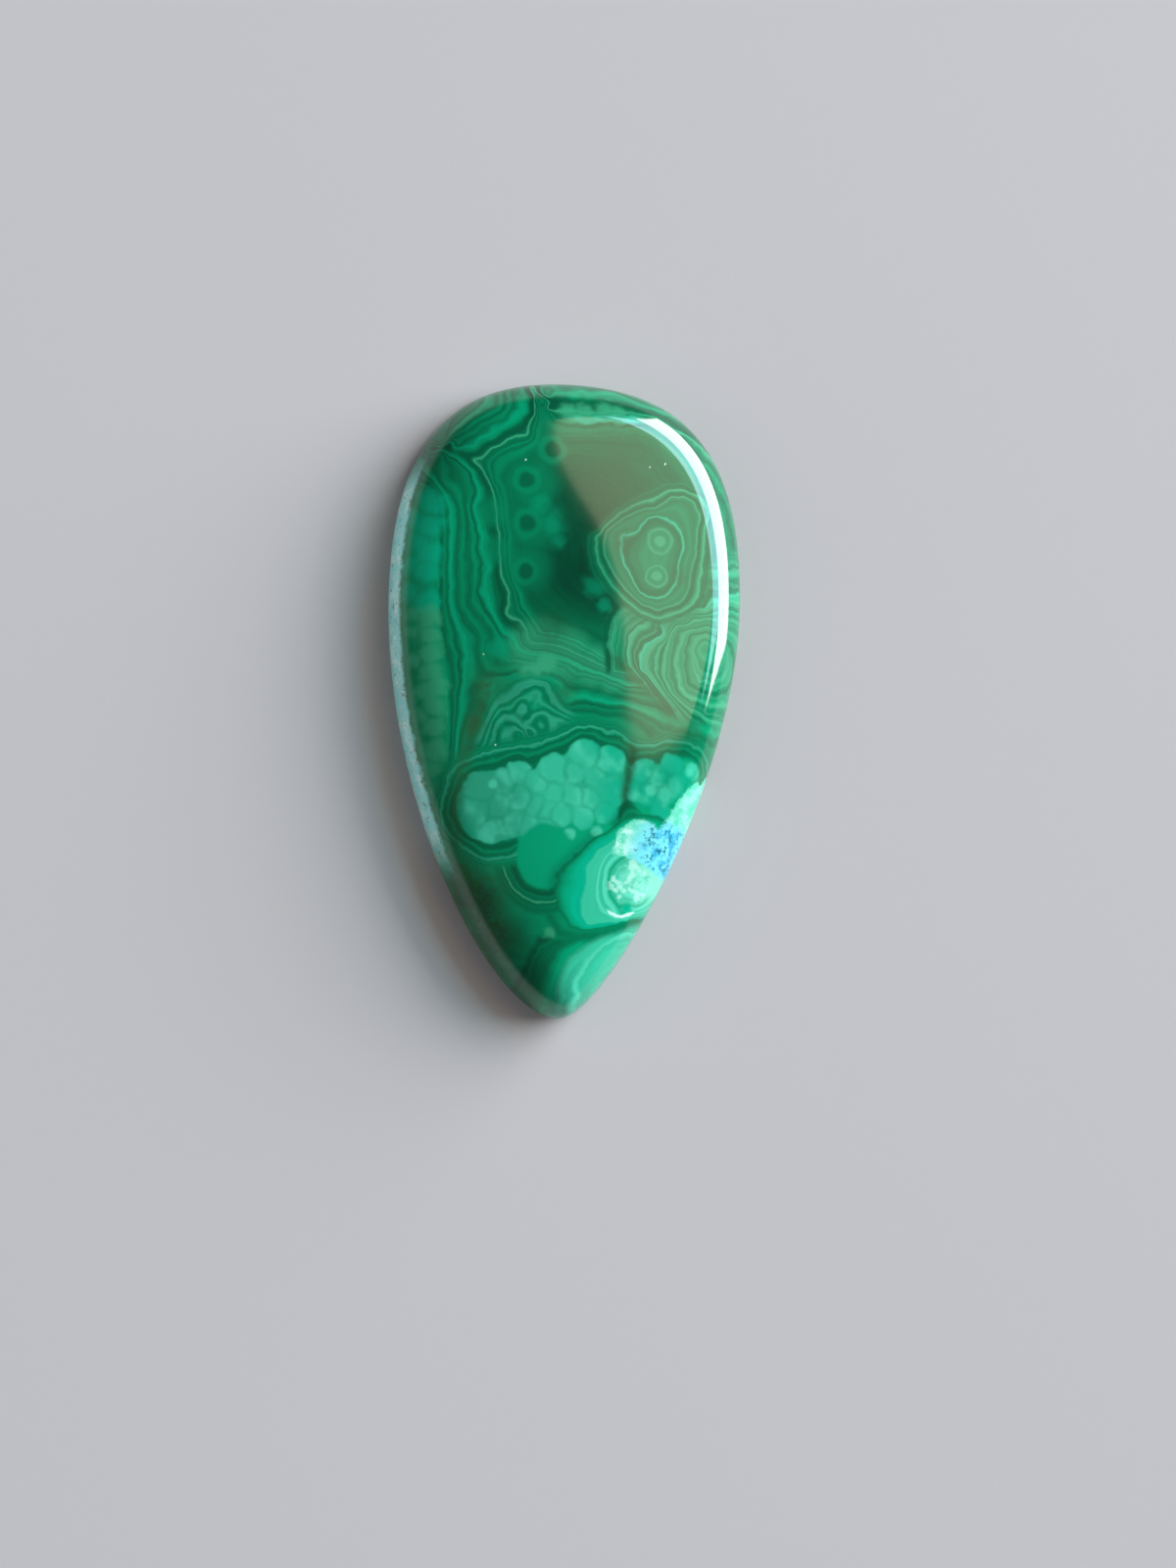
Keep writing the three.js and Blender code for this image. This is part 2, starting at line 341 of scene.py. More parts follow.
# Guide lines of the lobe with two eyes, numbered outwards from its own outline.
TWIN = [
    (-1.6, [(6.5, 12.5)]),
    (-1.4, [(6.3, 9.7)]),
    (-1.1, [(5.0, 11.4)]),
    (0.0, [(3.4, 12.65), (3.35, 11.7), (3.65, 10.6), (4.2, 9.6), (4.6, 8.9), (5.1, 8.3), (5.7, 8.0),
           (6.4, 7.95), (7, 8.2), (7.5, 8.6), (7.9, 9.2), (8.05, 10), (8.1, 10.7), (8.3, 11.4),
           (8.45, 12.1), (8.4, 12.75), (8.0, 13.4), (7.5, 13.95), (6.9, 14.3), (6.1, 14.35),
           (5.5, 14.15), (5, 13.7), (4.5, 13.1), (3.95, 12.85), (3.4, 12.65)]),
    (1.0, [(2.2, 12.9), (2.05, 12), (2.15, 11.05), (2.45, 10.3), (2.8, 9.65), (3.35, 9.0), (3.9, 8.4),
           (4.5, 7.9), (5.2, 7.4), (6.4, 7.1), (7.4, 7.4)]),
    (1.0, [(2.2, 12.9), (2.8, 13.5), (3.5, 14.1), (4.4, 14.6), (5.2, 14.9), (6, 15.0), (6.7, 15.5),
           (7.5, 16), (8.3, 16.1), (9.2, 15.7), (9.7, 14.9)]),
    (1.7, [(1.4, 12.6), (1.3, 11.5), (1.55, 10.5), (2, 9.6), (2.7, 8.7), (3.6, 7.8), (4.5, 7.2)]),
    (1.9, [(1.5, 12.8), (2.1, 13.6), (3, 14.5), (4, 15.2), (5, 15.7), (6, 16.1), (6.9, 16.7),
           (8.2, 16.9), (9.8, 16.4)]),
    (0.4, [(8.3, 14.5)]),
    (0.9, [(9.4, 12.9), (9.3, 11.6), (9.0, 10.4)]),
    (1.8, [(10.4, 14), (10.3, 12.4), (10.2, 11)]),
]

# Guide lines of the drop-shaped lobe, numbered outwards from its eye.
DROP = [
    (0.0, [(5.0, -14.1)]),
    (1.0, [(5.6, -12.9), (4.9, -12.8), (4.2, -13.1), (3.8, -13.7), (3.7, -14.3), (3.9, -15),
           (4.3, -15.5), (5, -15.7)]),
    (1.6, [(3.9, -12.6), (3.4, -13.3), (3.2, -14.3), (3.4, -15.3), (4.0, -16.0), (4.9, -16.6)]),
    (2.5, [(3.9, -11.6), (3.1, -12.2), (2.6, -13.2), (2.4, -14.3), (2.45, -15.5), (2.9, -16.5),
           (3.9, -17.1), (4.9, -17.2)]),
    (3.3, [(3.6, -11.0), (2.3, -11.9), (1.6, -13), (1.55, -14.6), (1.2, -16), (1.35, -17), (1.8, -17.6)]),
    (4.2, [(3, -10.4), (2.1, -10.9), (1.3, -11.5), (0.6, -12.3), (-0.2, -13.1), (-0.85, -13.9),
           (-1.05, -14.9), (-0.9, -15.7), (-0.65, -16.4), (0, -17.3), (0.5, -17.9), (1.3, -18.1),
           (2, -18.05), (3, -17.9), (4, -17.6), (4.8, -17.3), (5.8, -17.1), (7.5, -17)]),
    (1.2, [(7, -14)]),
]

# The edge of the blue and white crust with the mint strip that leads up to it.
CRUST_REACH = [
    (3.5, -12.0), (3.6, -11.1), (4.0, -10.2), (4.9, -9.5), (6, -9.2), (6.9, -9.7), (7.3, -9.9),
    (7.9, -9.2), (8.5, -8.2), (9.2, -7.1), (10.3, -6.3), (12.5, -5.5), (13, -9), (10, -14.5),
    (7.3, -13.6), (6.2, -12.8), (5, -12.4), (4.2, -12.3),
]

# Balls as x, y and radius in millimetres: the kernels, the lumps that they fill and the ground under them.
KERNELS = [
    (-6.9, -7.4, 1.35), (-7.2, -9.2, 1.3), (-5.8, -10.5, 1.25), (-5.3, -7.0, 1.15), (-5.6, -8.8, 1.2),
    (-4.1, -6.2, 1.1), (-4.0, -8.1, 1.2), (-4.4, -9.9, 1.15), (-2.7, -6.8, 1.05), (-2.7, -8.6, 0.95),
    (-1.4, -5.8, 1.3), (-1.2, -7.5, 1.0), (-1.8, -8.9, 0.95), (-0.7, -9.2, 1.05), (0.4, -5.9, 1.1),
    (0.2, -7.7, 1.05), (1.0, -4.6, 1.3), (1.9, -6.2, 1.1), (1.7, -7.8, 1.1), (3.0, -5.0, 1.3),
    (3.2, -7.2, 1.3), (2.8, -8.8, 1.0), (1.0, -9.3, 1.0), (-3.1, -10.2, 1.0), (-1.8, -10.4, 1.0),
]
RIGHT_KERNELS = [
    (5.8, -5.6, 1.0), (6.9, -6.0, 0.9), (8.1, -5.0, 0.95), (9.7, -5.4, 0.9), (8.7, -6.4, 0.95),
    (5.2, -7.2, 0.85), (6.2, -7.3, 0.9), (7.5, -7.3, 0.95), (7.3, -8.5, 0.9), (9.6, -6.6, 0.6),
]
GROUND = [
    (1.4, -10.4, 1.7), (-0.6, -10.9, 1.3), (-2.6, -10.9, 1.2), (2.9, -10.2, 1.1), (-1.0, -8.6, 1.6),
    (2.2, -8.0, 1.5), (3.4, -6.4, 1.6), (7.2, -7.2, 2.0), (9.2, -5.8, 1.3),
]
MASSES = [
    (-6.0, -8.8, 2.75), (-3.7, -7.8, 1.9), (-1.2, -7.3, 2.2), (1.0, -6.2, 2.2), (2.6, -6.6, 1.8),
    (7.2, -6.6, 1.7), (8.7, -5.8, 1.3), (6.0, -6.6, 1.4),
]

# Soft blobs on the shells, as x, y and radius: teal, pale green and a little lighter.
TEAL_BLOBS = [
    (-11.6, 14.6, 1.5), (-12.9, 13.4, 1.4), (-11.7, 12.7, 1.4), (-12.4, 11.4, 1.5), (-11.6, 10.6, 1.4),
    (-12.9, 9.7, 1.3), (-11.8, 9.1, 1.4), (-13.0, 7.6, 1.2), (-11.7, 6.8, 1.4), (-13.1, 15.4, 1.0),
]
PALE_BLOBS = [
    (-11.4, 5.4, 1.3), (-12.7, 5.8, 0.9), (-11.4, 4.2, 1.3), (-12.6, 4.4, 0.9), (-11.3, 2.9, 1.4),
    (-12.3, 2.2, 1.0), (-11.1, 1.4, 1.3), (-10.9, 0.2, 1.4), (-12.0, -0.2, 1.0), (-10.8, -1.3, 1.3),
    (-11.7, -2.0, 1.0), (-10.7, -2.9, 1.2), (-10.6, -4.6, 1.4), (-11.3, -5.6, 0.9), (-10.5, -6.2, 1.0),
    (-10.2, -7.6, 1.0), (-10.0, -9.0, 1.0), (-1.2, -18.4, 0.6), (-1.6, -19.0, 0.5), (-8.2, -14.9, 0.6),
    (-3.4, 1.6, 1.2), (-2.2, 2.4, 1.1), (-1.0, 22.2, 1.0), (0.4, 22.2, 1.2), (1.8, 22.4, 1.2),
    (3.0, 22.3, 1.0),
]
SOFT_SPOTS = [
    (-2.1, 13.3, 1.3), (-3.2, 14.7, 1.2), (-1.6, 11.9, 0.9), (1.4, 8.6, 1.3), (-6.0, 3.2, 1.3),
    (2.1, 7.2, 0.9),
]

# Where the shells carry finer lines, and where they are plainer, as x, y and radius.
FINE_LINES = [(-3.0, 3.4, 2.6), (-0.8, 3.2, 2.4), (1.4, 2.4, 1.8), (3.0, 1.6, 1.4)]
PLAIN_BLOBS = [(-3.6, 16.2, 2.6), (-3.3, 13.2, 2.9), (-3.8, 9.8, 2.5), (-6.8, 14, 1.8), (-6.4, 11, 1.6)]

# Small bright spots, as x, y and radius.
BRIGHT_DOTS = [(2.2, -10.4, 0.6), (0.0, -10.7, 0.65), (-6.1, -7.1, 0.5), (6.5, -7.0, 0.6), (9.7, -5.4, 0.6)]
WHITE_SPECKS = [
    (-4.0, 2.65, 0.13), (0.55, 6.7, 0.13), (0.75, 6.65, 0.1), (2.5, 0.4, 0.13), (0.9, 9.0, 0.08),
    (-4.3, 18.3, 0.09), (5.6, 18.3, 0.12), (-7.1, 2.9, 0.09), (0.5, 4.4, 0.09), (0.9, 9.1, 0.08),
    (7.1, 10.0, 0.08), (-0.9, 15.8, 0.07), (6.8, 18.6, 0.1), (-6.0, -4.1, 0.09),
]

# Eyes as x, y and radius.
CENTRAL_EYES = [(-4.25, 16.65, 1.4), (-4.1, 13.2, 1.45), (-4.1, 9.5, 1.35), (-2.25, 19.15, 1.4)]
TWIN_EYES = [(6.5, 12.45, 1.3), (6.3, 9.65, 1.1)]

# The middles of single features, as x and y.
TOP_SHELLS = (1.8, 24.5)
DOMES_MIDDLE = (-4.2, -1.4)
SAGE_KERNELS = (-7.5, -9.0)
LEFT_KERNELS = (-3.5, -7.0)
BLUE_MIDDLE = (7.8, -11.8)
BLUEST_MIDDLE = (8.3, -12.2)
STRIP_MIDDLE = (9.6, -6.6)

# Places in the drop-shaped lobe, and the white line that curls under its eye.
DROP_EYE = (5.1, -14.1)
DROP_HEART = (6.0, -14.0)
DROP_RIM = (7.4, -13.8)
DROP_SPOT = (5.0, -16.3)
CURL_MIDDLE = (4.5, -15.1)
CURL_RADIUS = 1.78
CURL_REACH = (4.5, -18.3)

# The upright oval disc: its middle, its radius and how much its width is drawn in.
DISC_MIDDLE = (-1.8, -12.4, 0.0)
DISC_RADIUS = 2.5
DISC_STRETCH = (1.12, 1.0, 1.0)

# Soft patches over everything, as x, y, radius and amount: how much lighter, and how much more brown.
# The brown is partly the stone's own olive and, at the lower left, a painted reflection of a brown surface.
LIGHTER = [
    (-12, 11, 3, 0.15), (-1, 12, 4, -0.15), (-1.5, 8, 3.5, -0.25), (-11.5, 19.5, 2.5, -0.3),
    (-6, -16, 2, -0.3), (-4, -21, 2.5, -0.4), (-3.5, -18, 1.3, -0.3), (-3.5, 23.0, 1.7, -0.3),
    (7.6, -6.4, 2.4, -0.16), (1.6, -6.4, 2.6, -0.1), (8.2, -12.0, 2.4, -0.12),
]
BROWN_AND_REFLECTED_PATCHES = [
    (-6.4, 0.6, 1.7, 0.45), (-0.7, 0.2, 0.9, 0.7), (-2, 4.9, 1.2, 0.6), (-7.5, -2.6, 0.8, 0.8),
    (8.3, -1.7, 1.3, 0.45), (9.8, -2.2, 0.9, 0.5), (-6.4, -15.5, 1.9, 0.9), (-5.2, -18.6, 1.5, 0.8),
    (3.6, 12.2, 0.8, 0.7), (8.2, 9.8, 0.7, 0.6), (3, 19.4, 3.2, 0.6), (3, 16, 2.5, 0.5),
]
# Soft streaks, as a width, an amount and the places along them.
DARK_STREAKS = [
    (0.4, -0.4, [(4.9, -4.2), (4.6, -5.6), (4.5, -7.0), (4.4, -8.4), (3.6, -9.6)]),
    (0.45, -0.3, [(-1.2, -14.6), (-0.9, -13.6), (0.4, -12.2), (1.9, -10.8)]),
    (0.35, -0.35, [(-1.2, -17.2), (-0.4, -18.3), (1.2, -18.6), (3, -18.3), (4.8, -17.7), (6.2, -17.2)]),
]
# Brown streaks; the one along the lower left is a painted reflection of a brown surface over the green.
BROWN_AND_REFLECTED_STREAKS = [
    (1.1, 0.7, [(-8.0, -14.4), (-6.6, -16.6), (-5.2, -19.6)]),
    (0.6, 0.75, [(-6.9, 0.5), (-7.2, -1.1), (-7.9, -2.7), (-8.5, -6.2), (-8.9, -9), (-8.6, -12.6),
           (-7.6, -16)]),
    (0.5, 0.9, [(3.3, 2.9), (4.2, 2.2), (5.6, 1.2), (6.9, 0.1), (7.8, -0.8)]),
    (0.4, 0.8, [(4.7, -3.6), (4.9, -4.5), (4.6, -6), (4.3, -7.6)]),
]


def linear(shade):
    """A shade as opaque linear light: ((v + 0.055) / 1.055)^2.4, or v / 12.92 when dark."""
    values = (v / 255 for v in SHADES[shade])
    return (*(((v + 0.055) / 1.055) ** 2.4 if v > 0.04 else v / 12.92 for v in values), 1)


def points_along(line, step=0.6):
    """A listed line, filled in so that its points are at most a step apart."""
    line = np.array(line, float)
    pieces = [line[:1]]
    for start, end in zip(line, line[1:]):
        count = max(1, math.ceil(np.linalg.norm(end - start) / step))
        pieces.append(start + (end - start) * (np.arange(1, count + 1) / count)[:, None])
    return np.vstack(pieces)


def guided(guides, points, softness=0.6):
    """A smooth number for every point that has the right value along each guide line. It is the mean
    plus a sum of rounded cones, sqrt(distance^2 + softness^2), weighted so that it meets the guides."""
    lines = [(number, points_along(line)) for number, line in guides]
    places = np.vstack([line for _, line in lines])
    numbers = np.concatenate([np.full(len(line), number) for number, line in lines])
    between = np.sqrt(((places[:, None] - places[None]) ** 2).sum(axis=2) + softness**2)
    weights = np.linalg.solve(between - 1e-3 * np.eye(len(places)), numbers - numbers.mean())
    result = np.empty(len(points))
    for part in np.array_split(np.arange(len(points)), GUIDE_CHUNKS):
        gap = points[part, None] - places[None]
        result[part] = np.sqrt((gap**2).sum(axis=2) + softness**2) @ weights + numbers.mean()
    return result


def distance_to_line(line, points):
    """How far each point is from the nearest stretch of a line."""
    line = np.array(line, float)
    nearest = np.full(len(points), np.inf)
    for start, end in zip(line, line[1:]):
        along = end - start
        share = np.clip((points - start) @ along / (along @ along), 0, 1)
        nearest = np.minimum(nearest, np.linalg.norm(points - start - share[:, None] * along, axis=1))
    return nearest


def within(loop, points):
    """The distance to a closed line, positive inside it and negative outside. A point is inside when a
    ray to its right crosses the line an odd number of times."""
    closed = np.vstack([loop, loop[:1]]).astype(float)
    inside = np.zeros(len(points), bool)
    for (ax, ay), (bx, by) in zip(closed, closed[1:]):
        if ay == by:
            continue
        spans = (points[:, 1] > min(ay, by)) & (points[:, 1] <= max(ay, by))
        crossing = ax + (points[:, 1] - ay) * (bx - ax) / (by - ay)
        inside ^= spans & (points[:, 0] < crossing)
    away = distance_to_line(closed, points)
    return np.where(inside, away, -away)


def soft_patches(patches, streaks, points):
    """The sum of round patches and streaks, each amount times exp(-(distance / size)^2)."""
    total = np.zeros(len(points))
    for x, y, radius, amount in patches:
        away = np.hypot(points[:, 0] - x, points[:, 1] - y)
        total += amount * np.exp(-((away / radius) ** 2))
    for width, amount, line in streaks:
        total += amount * np.exp(-((distance_to_line(line, points) / width) ** 2))
    return total


def growth_fields(points):
    """The numbers that the stone's colours follow, for each point of its skin, by name."""
    flat = points[:, :2]
    return {
        "shells": guided(SHELLS, flat),
        "lobes": guided(LOBES, flat),
        "lobes_reach": within(LOBES_REACH, flat),
        "foot": guided(FOOT, flat),
        "foot_reach": within(FOOT_REACH, flat),
        "domes": guided(DOMES, flat),
        "twin": guided(TWIN, flat),
        "drop": guided(DROP, flat),
        "crust_reach": within(CRUST_REACH, flat),
        "lighter": soft_patches(LIGHTER, DARK_STREAKS, flat),
        "brown_and_reflection": soft_patches(BROWN_AND_REFLECTED_PATCHES, BROWN_AND_REFLECTED_STREAKS, flat),
    }


class Paint:
    """Builds a material out of fields in millimetres and the colours laid over one another by them."""

    def __init__(self, tree):
        self.tree = tree

    def put(self, source, socket):
        """Sets a socket from a plain value or from another node's output."""
        if isinstance(source, bpy.types.NodeSocket):
            self.tree.links.new(source, socket)
        else:
            socket.default_value = source

    def maths(self, operation, *terms):
        node = self.tree.nodes.new("ShaderNodeMath")
        node.operation = operation
        for term, socket in zip(terms, node.inputs):
            self.put(term, socket)
        return node.outputs[0]

    def times(self, first, second):
        return self.maths("MULTIPLY", first, second)

    def plus(self, first, second):
        return self.maths("ADD", first, second)

    def minus(self, first, second):
        return self.maths("SUBTRACT", first, second)

    def vector(self, operation, *terms, output="Vector"):
        node = self.tree.nodes.new("ShaderNodeVectorMath")
        node.operation = operation
        for term, socket in zip(terms, node.inputs):
            self.put(term, socket)
        return node.outputs[output]

    def step(self, value, start, end):
        """0 at the start and 1 at the end, with a smooth rise or fall between them."""
        node = self.tree.nodes.new("ShaderNodeMapRange")
        node.interpolation_type = "SMOOTHSTEP"
        low, high = min(start, end), max(start, end)
        to_low, to_high = (0.0, 1.0) if start < end else (1.0, 0.0)
        for number, term in enumerate((value, low, high, to_low, to_high)):
            self.put(term, node.inputs[number])
        return node.outputs[0]

    def field(self, name):
        node = self.tree.nodes.new("ShaderNodeAttribute")
        node.attribute_name = name
        return node.outputs["Fac"]

    def noise(self, place, scale, detail=2.0, roughness=0.5, output="Fac"):
        node = self.tree.nodes.new("ShaderNodeTexNoise")
        self.put(place, node.inputs["Vector"])
        node.inputs["Scale"].default_value = scale
        node.inputs["Detail"].default_value = detail
        node.inputs["Roughness"].default_value = roughness
        return node.outputs[output]

    def bands(self, value, stops):
        """A colour from a field: the shade of each stop at its place, and a mix between them."""
        first, last = stops[0][0], stops[-1][0]
        share = self.maths("DIVIDE", self.minus(value, first), last - first)
        node = self.tree.nodes.new("ShaderNodeValToRGB")
        elements = node.color_ramp.elements
        places = [(place - first) / (last - first) for place, _ in stops]
        elements[0].position, elements[1].position = places[0], places[-1]
        for place in places[1:-1]:
            elements.new(place)
        for element, (_, shade) in zip(elements, stops):
            element.color = linear(shade)
        self.put(share, node.inputs[0])
        return node.outputs[0]

    def mix(self, under, over, share):
        node = self.tree.nodes.new("ShaderNodeMix")
        node.data_type = "RGBA"
        for term, number in ((share, 0), (under, 6), (over, 7)):
            self.put(term, node.inputs[number])
        return node.outputs[2]

    def dim(self, colour, amount):
        """A colour times a plain amount, above or below one."""
        node = self.tree.nodes.new("ShaderNodeVectorMath")
        node.operation = "SCALE"
        self.put(colour, node.inputs["Vector"])
        self.put(amount, node.inputs["Scale"])
        return node.outputs["Vector"]

    def lay(self, under, shade, share, strength=1.0):
        """One shade over a colour."""
        return self.mix(under, linear(shade), self.times(share, strength))

    def away(self, place, x, y):
        """The distance from a place to the point x, y at the level of the crown."""
        return self.vector("DISTANCE", place, (x, y, 0.0), output="Value")

    def group(self, place, balls, rounding):
        """The distance to a group of balls, rounded where two of them meet."""
        total = None
        for x, y, radius in balls:
            ball = self.minus(self.away(place, x, y), radius)
            total = ball if total is None else self.maths("SMOOTH_MIN", total, ball, rounding)
        return total

    def nearest_two(self, place, balls):
        """The distances to the nearest and the second nearest ball."""
        first = second = 50.0
        for x, y, radius in balls:
            ball = self.minus(self.away(place, x, y), radius)
            second = self.maths("MINIMUM", second, self.maths("MAXIMUM", first, ball))
            first = self.maths("MINIMUM", first, ball)
        return first, second

    def nearest_share(self, place, spots):
        """The distance to the nearest spot as a share of that spot's radius."""
        total = 50.0
        for x, y, radius in spots:
            share = self.maths("DIVIDE", self.away(place, x, y), radius)
            total = self.maths("MINIMUM", total, share)
        return total


# Bands, as places along a field and the shade at each. The colour changes evenly from one to the next.
SHELL_BANDS = [
    (0.0, "mid"), (1.5, "mid"), (1.72, "dark"), (1.95, "green"), (2.08, "mid"), (2.25, "dark"),
    (2.42, "green"), (2.6, "bright"), (2.9, "mid"), (3.1, "dark"), (3.35, "green"), (3.5, "mid"),
    (3.8, "dark"), (3.95, "green"), (4.1, "mid"), (4.28, "dark"), (4.5, "bright"), (4.72, "mid"),
    (4.9, "dark"), (5.2, "deep"), (5.45, "dark"), (5.58, "line"), (5.72, "green"), (5.95, "dark"),
    (6.15, "mid"), (6.35, "dark"), (6.6, "mid"), (6.95, "green"), (7.4, "dark"), (8.2, "dark"),
    (10.0, "black"),
]
LOBE_BANDS = [
    (-0.5, "bright"), (0.5, "mid"), (0.85, "line"), (1.0, "mid"), (1.3, "green"), (1.6, "mid"),
    (1.8, "line"), (1.95, "mid"), (2.3, "green"), (2.5, "mid"), (2.62, "line"), (2.75, "mid"),
    (2.95, "green"), (3.15, "bright"), (3.3, "green"), (3.5, "mid"), (3.72, "line"), (3.88, "bright"),
    (4.0, "jade"), (4.12, "green"), (4.35, "dark"), (4.65, "green"), (4.86, "bright"), (4.97, "line"),
    (5.1, "green"), (5.4, "mid"), (5.6, "green"), (5.8, "mid"), (5.95, "line"), (6.08, "dark"),
    (6.5, "deep"),
]
TWIN_BANDS = [
    (-1.6, "mid"), (-0.5, "green"), (-0.2, "dark"), (-0.07, "mid"), (0.0, "jade"), (0.06, "mid"),
    (0.18, "green"), (0.5, "mid"), (0.75, "green"), (0.93, "mid"), (1.0, "line"), (1.09, "green"),
    (1.3, "dark"), (1.5, "mid"), (1.66, "line"), (1.76, "green"), (2.0, "dark"), (2.15, "mid"),
    (2.3, "dark"), (2.6, "green"),
]
TWIN_EYE_BANDS = [
    (0.0, "line"), (0.3, "line"), (0.42, "mid"), (0.6, "mid"), (0.76, "line"), (0.86, "mid"),
    (1.0, "green"),
]
CENTRAL_EYE_BANDS = [
    (0.0, "deep"), (0.36, "deep"), (0.55, "mid"), (0.75, "mid"), (0.9, "green"), (1.0, "green"),
]
DOME_BANDS = [
    (-0.4, "mid"), (0.2, "green"), (0.55, "sage"), (0.75, "sage"), (1.0, "green"), (1.3, "green"),
    (1.5, "sage"), (1.7, "sage"), (1.85, "green"), (2.05, "mid"), (2.2, "sage"), (2.35, "mid"),
    (2.5, "green"), (2.7, "sage"), (2.95, "sage"), (3.15, "mid"), (3.3, "green"), (3.5, "mid"),
    (3.7, "green"), (4.0, "dark"),
]
HALO_BANDS = [
    (-0.3, "mid"), (0.1, "green"), (0.4, "dark"), (0.62, "dark"), (0.8, "mid"), (0.92, "green"),
    (1.08, "dark"), (1.2, "mid"), (1.34, "sage"), (1.48, "green"), (1.62, "mid"), (1.74, "green"),
    (1.88, "mid"), (2.02, "green"), (2.2, "mid"), (2.4, "dark"),
]
FOOT_BANDS = [
    (-0.5, "jade"), (0.5, "jade"), (0.85, "jade"), (1.0, "mint"), (1.14, "jade"), (1.5, "jade"),
    (1.75, "sage"), (2.0, "bright"), (2.35, "bright"), (2.75, "mid"), (3.05, "green"), (3.7, "dark"),
    (3.95, "green"), (4.1, "dark"), (4.4, "deep"), (5.5, "deep"),
]
DROP_BANDS = [
    (0.0, "jade"), (0.5, "mint"), (0.85, "jade"), (0.98, "mint"), (1.12, "jade"), (1.3, "jade"),
    (1.5, "bright"), (1.66, "jade"), (1.85, "mint"), (2.0, "mint"), (2.12, "jade"), (2.35, "jade"),
    (2.45, "mint"), (2.6, "jade"), (3.1, "jade"), (3.28, "jade"), (3.4, "teal"), (3.7, "teal"),
    (3.95, "bright"), (4.15, "green"), (4.3, "dark"),
]
DISC_BANDS = [
    (-0.3, "bright"), (0.0, "mid"), (0.2, "dark"), (0.45, "deep"), (0.65, "dark"), (0.8, "green"),
    (0.95, "dark"), (1.1, "green"), (1.2, "line"), (1.35, "dark"), (1.6, "green"), (1.75, "dark"),
    (2.2, "deep"),
]


def pattern_place(paint):
    """Places in millimetres with the depth squeezed about the crown, all shifted a little by noise."""
    spot = paint.tree.nodes.new("ShaderNodeTexCoord").outputs["Object"]
    plain = paint.vector("MULTIPLY", spot, (1 / MM, 1 / MM, 1 / MM))
    squeezed = paint.vector("MULTIPLY", plain, (1.0, 1.0, DEPTH_SHARE))
    settled = paint.vector("SUBTRACT", squeezed, (0.0, 0.0, CROWN_LEVEL * DEPTH_SHARE))
    drift = paint.vector("SUBTRACT", paint.noise(plain, 0.7, 3.0, 0.55, "Color"), (0.5, 0.5, 0.5))
    return plain, paint.vector("ADD", settled, paint.vector("MULTIPLY", drift, (0.5, 0.5, 0.5)))


def uneven_place(paint, plain, place, reach):
    """Places shifted sideways by a slow noise, so that circles round a place come out uneven."""
    uneven = paint.vector("SUBTRACT", paint.noise(plain, 0.9, 1.0, 0.5, "Color"), (0.5, 0.5, 0.5))
    return paint.vector("ADD", place, paint.vector("MULTIPLY", uneven, (reach, reach, 0.0)))


def striped(paint, colour, level, plain, count=3.2, strength=0.28):
    """Fine irregular bands along a field: two noises read mostly along the field and hardly across it."""
    slow = paint.vector("MULTIPLY", plain, (0.12, 0.12, 0.12))
    along = paint.tree.nodes.new("ShaderNodeCombineXYZ")
    paint.put(paint.times(level, count), along.inputs[0])
    read = paint.vector("ADD", along.outputs[0], slow)
    grain = paint.plus(paint.noise(read, 1.0, 2.0, 0.5), paint.noise(read, 2.7, 2.0, 0.5))
    return paint.dim(colour, paint.maths("MULTIPLY_ADD", grain, 1.8 * strength, 1.0 - 1.8 * strength))


def ripples(paint, level, spacing):
    """Thin evenly spaced lines along a field, where the sine of the level is near one or minus one."""
    wave = paint.maths("ABSOLUTE", paint.maths("SINE", paint.times(level, math.pi / spacing)))
    return paint.step(wave, 0.7, 0.98)


def flank_shells(paint, plain, place, wobble):
    level = paint.plus(paint.field("shells"), wobble)
    colour = striped(paint, paint.bands(level, SHELL_BANDS), level, plain)
    crest = paint.maths("ABSOLUTE", paint.minus(level, 6.0))
    upper = paint.step(paint.away(place, *TOP_SHELLS), 4.4, 3.2)
    colour = paint.lay(colour, "jade", paint.times(paint.step(crest, 0.35, 0.1), upper))
    fine = striped(paint, paint.lay(colour, "line", 0.5), level, plain, 5.0, 0.6)
    colour = paint.mix(colour, fine, paint.step(paint.nearest_share(place, FINE_LINES), 1.2, 0.5))
    colour = paint.lay(colour, "mid", paint.step(paint.nearest_share(place, PLAIN_BLOBS), 1.0, 0.3), 0.6)
    ragged = paint.maths("MULTIPLY_ADD", paint.noise(plain, 0.9, 3.0), 1.1, -0.55)
    teal = paint.plus(paint.nearest_share(place, TEAL_BLOBS), ragged)
    pale = paint.plus(paint.nearest_share(place, PALE_BLOBS), ragged)
    spots = paint.plus(paint.nearest_share(place, SOFT_SPOTS), ragged)
    colour = paint.lay(colour, "bright", paint.step(spots, 1.0, 0.2), 0.55)
    colour = paint.lay(colour, "teal", paint.step(teal, 1.0, 0.35), 0.7)
    return paint.lay(colour, "line", paint.step(pale, 1.0, 0.35), 0.75)


def eye_spots(paint, under, place, eyes, stops, reach, strength, firm):
    """Small round eyes: bands by the share of each one's radius. They fade out at their reach, from the
    firm share of it on."""
    share = paint.nearest_share(place, eyes)
    cover = paint.times(paint.step(share, reach, reach * firm), strength)
    return paint.mix(under, paint.bands(share, stops), cover)


def twin_eye(paint, under, plain, place, wobble):
    level = paint.plus(paint.field("twin"), paint.times(wobble, 0.7))
    colour = striped(paint, paint.bands(level, TWIN_BANDS), level, plain, strength=0.2)
    colour = paint.mix(under, colour, paint.step(level, 2.6, 1.7))
    return eye_spots(paint, colour, place, TWIN_EYES, TWIN_EYE_BANDS, 1.05, 0.8, 0.7)


